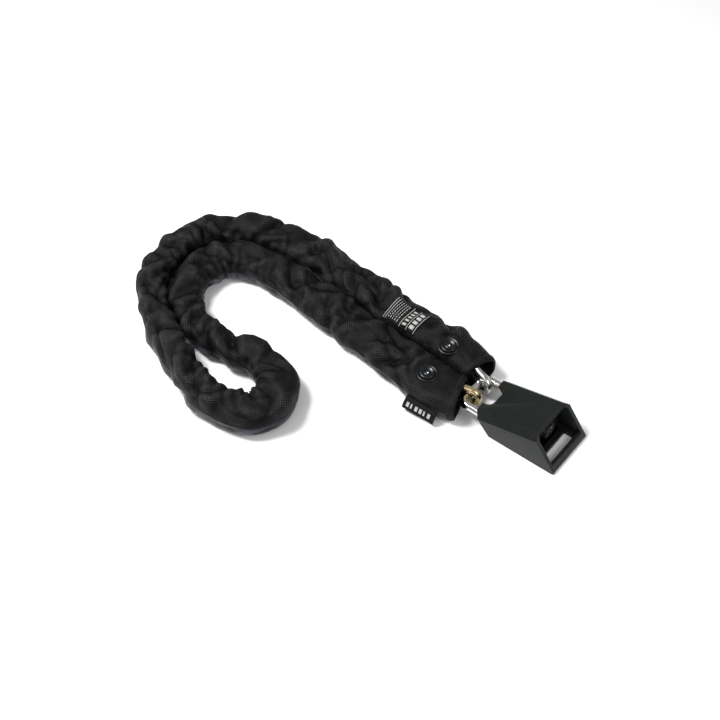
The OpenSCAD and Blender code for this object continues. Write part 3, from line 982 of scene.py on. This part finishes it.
def add_tab(cloth, print_thread):
    """Folded tab sewn into the side of the front strand, with plain blocks woven into it."""
    points = node_points("side_tab")
    order = np.argsort(points[:, 2])
    lower, upper = points[order[:2]], points[order[-2:]]
    left, right = upper[np.argmin(upper[:, 0])], upper[np.argmax(upper[:, 0])]
    a, along = Vector(left), Vector(right - left).normalized()
    length = float(right[0] - left[0])
    down = Vector(lower.mean(axis=0) - upper.mean(axis=0))
    out = Vector((along.y, -along.x, 0))
    out = (out - down * out.dot(down) / down.length_squared).normalized()
    if out.z < 0:
        out = -out
    rows, cols, thick = 12, 40, 0.0011

    def surface(u, v, depth):
        """u along the tab, v down it; it bellies out a little towards its fold."""
        belly = 0.0009 * math.sin(math.pi * v) + 0.0008 * math.sin(5 * u + 1) * v
        return a + along * (u * length) + down * v + out * (belly + depth)

    def slab(u0, u1, v0, v1, lift, thickness, nu, nv):
        front = [surface(u0 + (u1 - u0) * i / nu, v0 + (v1 - v0) * j / nv, lift) for i in range(nu + 1)
                 for j in range(nv + 1)]
        rear = [p - out * thickness for p in front]
        n = len(front)
        faces, rim = grid_faces(nu, nv)
        faces += [tuple(n + k for k in f[::-1]) for f in faces]
        faces += [(rim[k], rim[(k + 1) % len(rim)], n + rim[(k + 1) % len(rim)], n + rim[k])
                  for k in range(len(rim))]
        return front + rear, faces

    tab = new_object("side_tab_cloth", *slab(0, 1, -0.08, 1, 0.0, thick, cols, rows), cloth)
    flat_uv(tab)
    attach(tab, "near_run")
    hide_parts("side_tab")
    marks = [slab(0.10 + 0.135 * k, 0.10 + 0.135 * k + w, 0.34, 0.74, 0.00022, 0.0004, 4, 4)
             for k, w in enumerate((0.085, 0.05, 0.085, 0.085, 0.05, 0.085))]
    blocks = new_object("side_tab_marks", *merge(marks), print_thread)
    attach(blocks, "near_run")


def snap_part(name, profile, places, material, cad):
    parts = []
    for place, normal in places:
        turn = Vector((0, 0, 1)).rotation_difference(normal).to_matrix().to_4x4()
        turn.translation = place
        parts.append(moved(lathe([(r * 0.001, z * 0.001) for r, z in profile], 72), turn))
    made = new_object(name, *merge(parts), material)
    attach(made, "near_run")
    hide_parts(*cad)


def add_snaps(tree, dark_metal, bright_metal):
    places = []
    for x, y, z in snap_places():
        height, _ = on_sleeve(tree, x, y)
        tilt = Vector((0, -0.10, 1)).normalized() if y > 0 else Vector((0, 0, 1))
        places.append((Vector((x, y, height)), tilt))
    # profiles as (radius, height), in millimetres
    washer = [(6.4, 0.0), (10.6, -0.3), (10.75, 0.1), (10.6, 0.5), (10.0, 0.85), (9.2, 0.9), (8.6, 0.55),
              (7.9, 0.35), (6.4, 0.5)]
    cap = [(1.7, 0.0), (7.6, 0.0), (7.8, 0.5), (7.75, 1.1), (7.4, 1.7), (6.8, 2.05), (6.2, 2.1), (5.6, 1.85),
           (4.8, 1.3), (3.9, 1.0), (3.0, 1.0), (2.6, 1.35), (2.2, 1.55), (1.85, 1.4), (1.7, 1.0)]
    post = [(0.0001, 0.1), (1.69, 0.1), (1.69, 0.6), (1.2, 0.45), (0.0001, 0.35)]
    snap_part("snap_washer_rings", washer, places, dark_metal, ["snap_washers"])
    snap_part("snap_dished_caps", cap, places, dark_metal, ["snap_caps"])
    snap_part("snap_rivet_posts", post, places, bright_metal, ["snap_posts"])


# ---- links
BAR = 0.007
BAR_BEVEL = 0.0018
CROWN = 0.00875
STRAIGHT = 0.0295


def bar_section():
    """Square bar with its four edges bevelled, and the corners left by the bevels eased."""
    h, f, ease = BAR / 2, BAR / 2 - BAR_BEVEL, 0.0005
    corners = [Vector(c) for c in ((h, -f), (h, f), (f, h), (-f, h), (-h, f), (-h, -f), (-f, -h), (f, -h))]
    section = []
    for k, corner in enumerate(corners):
        for other in (corners[k - 1], corners[(k + 1) % 8]):
            section.append(tuple(corner + (other - corner).normalized() * ease))
    return section


def link_part():
    """A link lying flat along X."""
    path, arc = [], 28
    for end in (1, -1):
        for k in range(arc + 1):
            a = math.radians(-90 + 180 * k / arc) + (0 if end == 1 else math.pi)
            out = Vector((math.cos(a), math.sin(a), 0))
            path.append((Vector((end * STRAIGHT / 2, 0, 0)) + out * CROWN, out, Vector((0, 0, 1))))
    return sweep(path, bar_section())


def add_link(name, cad, material):
    """An end link standing on edge, in the place and direction of the CAD node."""
    low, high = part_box(cad)
    middle = (Vector(low) + Vector(high)) / 2
    points = node_points(cad)[:, :2] - np.array(middle[:2])
    axis = np.linalg.eigh(points.T @ points)[1][:, 1]
    turn = Matrix.Rotation(math.atan2(axis[1], axis[0]), 4, "Z")
    turn = turn @ Matrix.Rotation(math.radians(90), 4, "X")
    turn.translation = middle
    made = new_object(name, *moved(link_part(), turn), material)
    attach(made, "end_links")
    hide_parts(cad)


# ---- housing
LARGE_FACE = 0.00002  # square metres


def flatten_large_faces(mesh):
    """Large faces are shaded flat, and the narrow bevels between them blend from one to the next."""
    largest = {}
    for face in mesh.polygons:
        for v in face.vertices:
            if v not in largest or face.area > largest[v].area:
                largest[v] = face
    normals = []
    for face in mesh.polygons:
        for v in face.vertices:
            if face.area > LARGE_FACE:
                normals.append(tuple(face.normal))
            elif largest[v].area > LARGE_FACE:
                normals.append(tuple(largest[v].normal))
            else:
                normals.append(tuple(mesh.vertices[v].normal))
    mesh.normals_split_custom_set(normals)


def bevelled_copy(name, cad, width, segments, angle, material, body):
    """A copy of a CAD node with its flat faces merged and its edges rounded."""
    mesh = nodes[cad].data.copy()
    made = bpy.data.objects.new(name, mesh)
    bpy.context.collection.objects.link(made)
    work = bmesh.new()
    work.from_mesh(mesh)
    bmesh.ops.remove_doubles(work, verts=work.verts, dist=0.00001)
    bmesh.ops.dissolve_limit(work, angle_limit=math.radians(0.6), verts=work.verts, edges=work.edges)
    work.to_mesh(mesh)
    work.free()
    mesh.materials.clear()
    mesh.materials.append(material)
    bevel = made.modifiers.new("edges", "BEVEL")
    bevel.width = width
    bevel.segments = segments
    bevel.limit_method = "ANGLE"
    bevel.angle_limit = math.radians(angle)
    bevel.miter_outer = "MITER_ARC"
    mesh.polygons.foreach_set("use_smooth", [True] * len(mesh.polygons))
    bpy.context.view_layer.update()
    final = bpy.data.meshes.new_from_object(made.evaluated_get(bpy.context.evaluated_depsgraph_get()))
    made.modifiers.clear()
    made.data = final
    final.name = name
    flatten_large_faces(final)
    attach(made, body)
    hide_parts(cad)


# ---- the scene
add_camera()
add_world(0.36)
area_light("key", -60, 58, 1.4, 0.5, 27)
area_light("side", 95, 38, 1.4, 0.5, 6)
area_light("front", 10, 50, 1.6, 0.8, 2)

sleeve_cloth = woven_nylon("sleeve_cloth", (0.0008, 0.0008, 0.0008), (0.062, 0.062, 0.063), True)
hem_cloth = woven_nylon("hem_cloth", (0.003, 0.003, 0.003), (0.024, 0.024, 0.025), False)
label_cloth = woven_nylon("label_cloth", (0.003, 0.003, 0.003), (0.014, 0.014, 0.015), False)
white_thread = thread("white_thread", (0.50, 0.50, 0.48))
black_thread = thread("black_thread", (0.014, 0.014, 0.015))
housing_coat = coated_metal("housing_coat", (0.0062, 0.0080, 0.0068), (0.0092, 0.0114, 0.0098),
                            0.25, 0.00003)
black_oxide = coated_metal("black_oxide", (0.006, 0.006, 0.006), (0.012, 0.012, 0.012), 0.35, 0.00002)
chrome = plated_metal("chrome_plate", (0.60, 0.61, 0.63), (0.76, 0.77, 0.78), 0.12)
zinc = plated_metal("bright_zinc", (0.46, 0.46, 0.44), (0.68, 0.67, 0.64), 0.26)
gold = plated_metal("yellow_zinc", (0.52, 0.38, 0.18), (0.83, 0.70, 0.42), 0.22)
gunmetal = plated_metal("gunmetal", (0.022, 0.023, 0.024), (0.05, 0.052, 0.055), 0.34)
steel = plated_metal("ground_steel", (0.34, 0.35, 0.37), (0.52, 0.53, 0.55), 0.28)
brass = plated_metal("turned_brass", (0.52, 0.37, 0.15), (0.74, 0.57, 0.28), 0.25)
seal = rubber("seal_rubber", (0.01, 0.01, 0.01))

stations, rings, sleeve_tree, extra = add_sleeve(sleeve_cloth)
hem_rings = int(HEM / RING_GAP) + 1
first, final = extra, len(stations) - 1 - extra
add_hem("back_mouth_hem", rings[first], rings[first + hem_rings], hem_cloth)
add_hem("front_mouth_hem", rings[final], rings[final - hem_rings], hem_cloth)


def ring_line(ring, lift):
    middle = ring.mean(axis=0)
    line = []
    for p in list(ring) + [ring[0]]:
        out = (p - middle) / np.linalg.norm(p - middle)
        if p[2] > 0.001:
            line.append((p + out * lift, out))
    return line


stitch_line("back_mouth_stitches", ring_line(rings[first + hem_rings - 1], 0.0006), black_thread)
stitch_line("front_mouth_stitches", ring_line(rings[final - hem_rings + 1], 0.0006), black_thread)
add_label(sleeve_tree, label_cloth, white_thread)
add_tab(label_cloth, white_thread)
add_snaps(sleeve_tree, gunmetal, steel)

add_link("silver_end_link", "end_link_back", zinc)
add_link("gold_end_link", "end_link_front", gold)
bevelled_copy("housing_shroud", "lock_cover", 0.0011, 4, 25, housing_coat, "housing")

FINISH = {
    "lock_body": steel, "end_plate": steel, "plate_screws": black_oxide, "shackle_seals": seal,
    "shackle": chrome, "ball_left": steel, "ball_right": steel, "ball_cam": brass, "cylinder_shell": brass,
    "cylinder_plug": brass, "key_pins": brass, "driver_pins": steel, "pin_springs": steel,
    "dust_cover": black_oxide, "cover_rivet": steel}
for name, made in nodes.items():
    material = FINISH.get(name, gold if name.startswith("chain_link") else None)
    if material:
        made.data.materials.clear()
        made.data.materials.append(material)

floor = new_object("floor", [(-3, -3, 0), (3, -3, 0), (3, 3, 0), (-3, 3, 0)], [(0, 1, 2, 3)],
                   paper_floor("paper"))
floor.location.z = -0.0003
